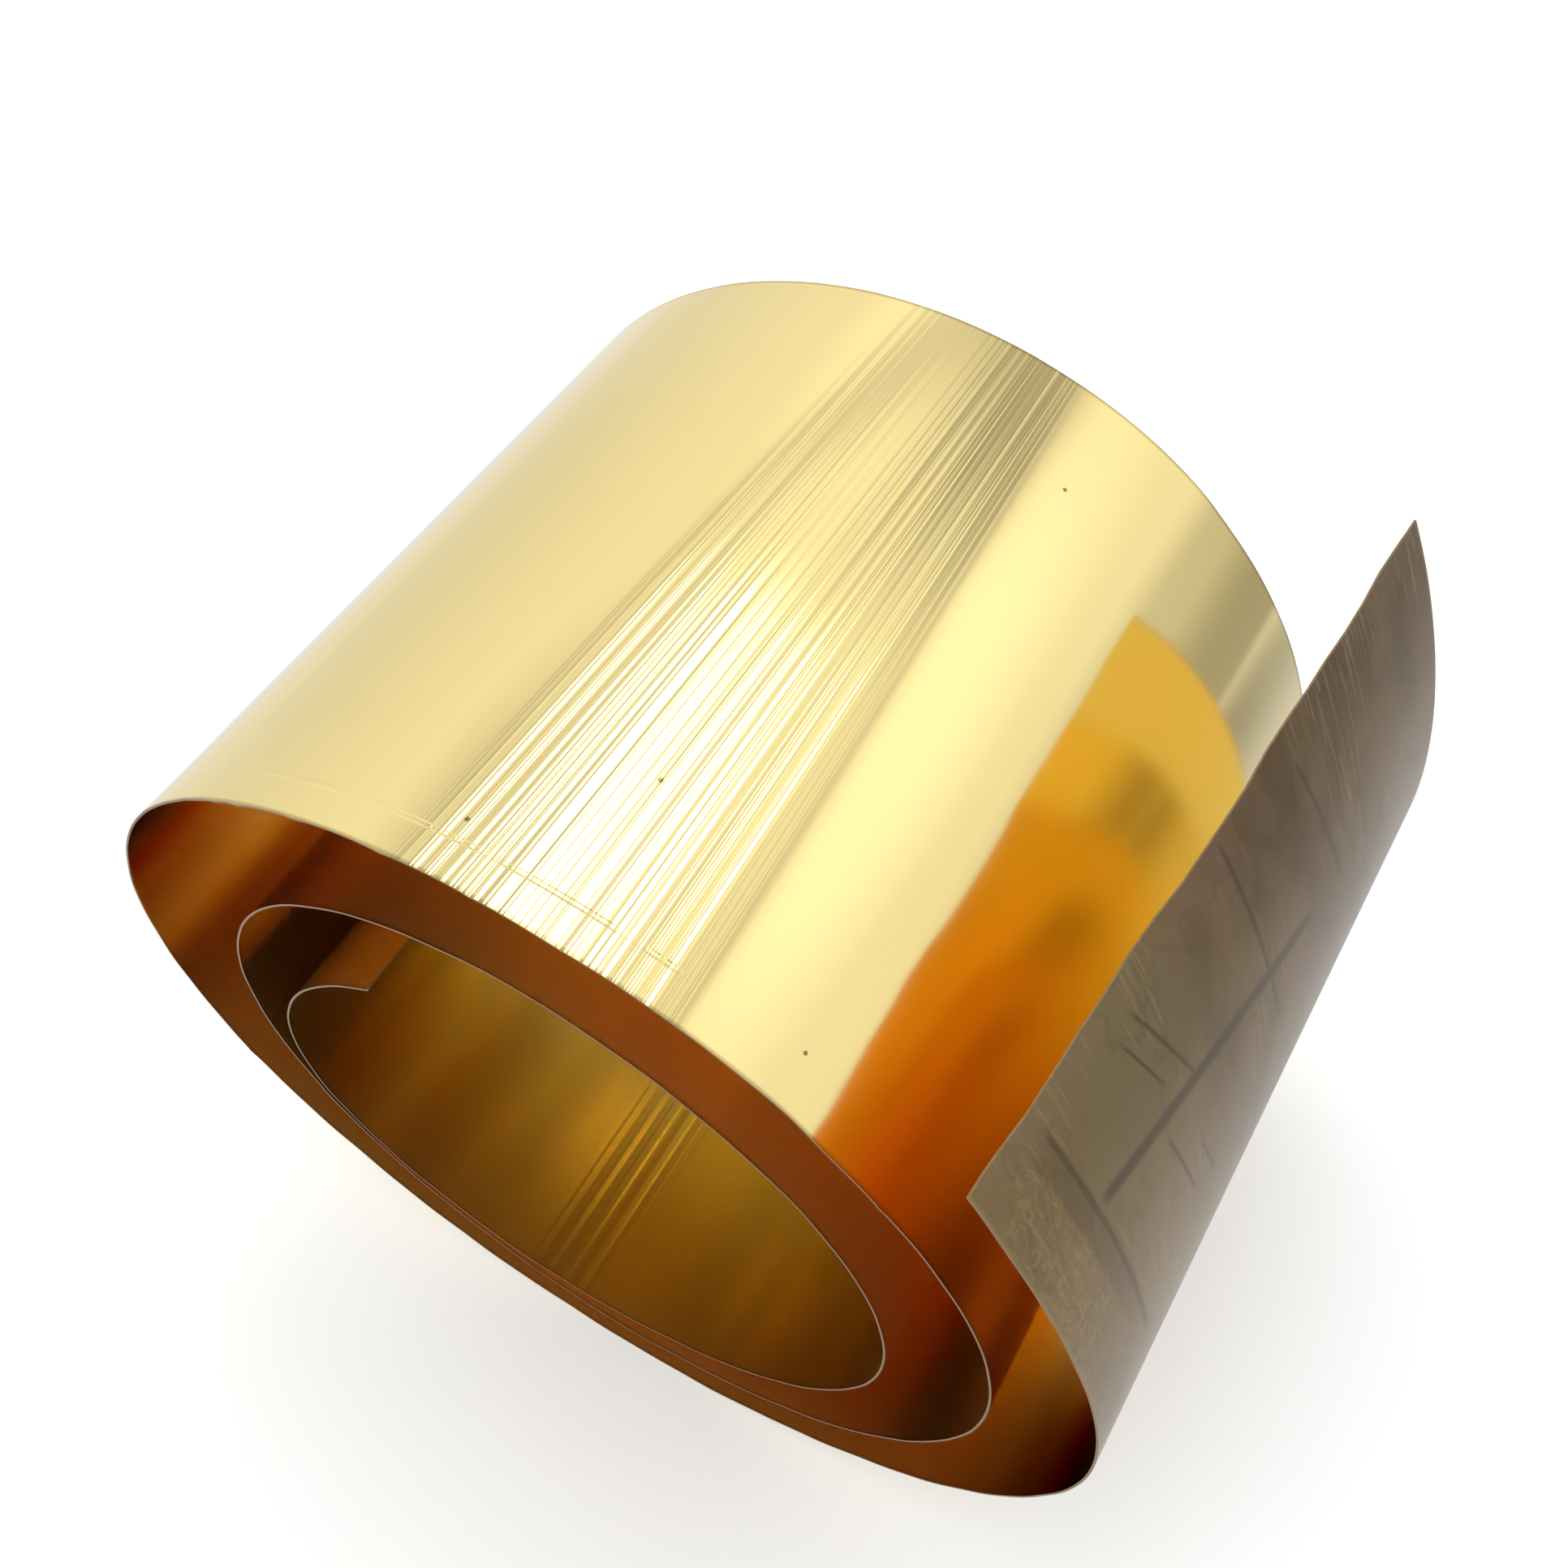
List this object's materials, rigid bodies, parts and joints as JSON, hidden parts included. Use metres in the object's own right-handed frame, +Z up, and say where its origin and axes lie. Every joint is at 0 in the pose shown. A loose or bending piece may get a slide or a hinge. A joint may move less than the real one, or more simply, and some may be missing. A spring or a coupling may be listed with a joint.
{
  "type": "roll of brass strip",
  "caption": "Loose roll of thin bright brass strip lying on its side, with open gaps between its laps and its free outer end standing clear of the roll.",
  "frame": {"origin": "on the surface that the roll lies on, under the middle of its bounding box", "axes": "+Z up; +Y along the axis of the roll, from the near end to the far end; +X across the roll, towards the side where the free outer end stands up"},
  "size_m": [0.1432, 0.1, 0.1277],
  "materials": {
    "brass": "polished"
  },
  "bodies": {
    "root": {"brass_strip": "brass"}
  },
  "joints": []
}
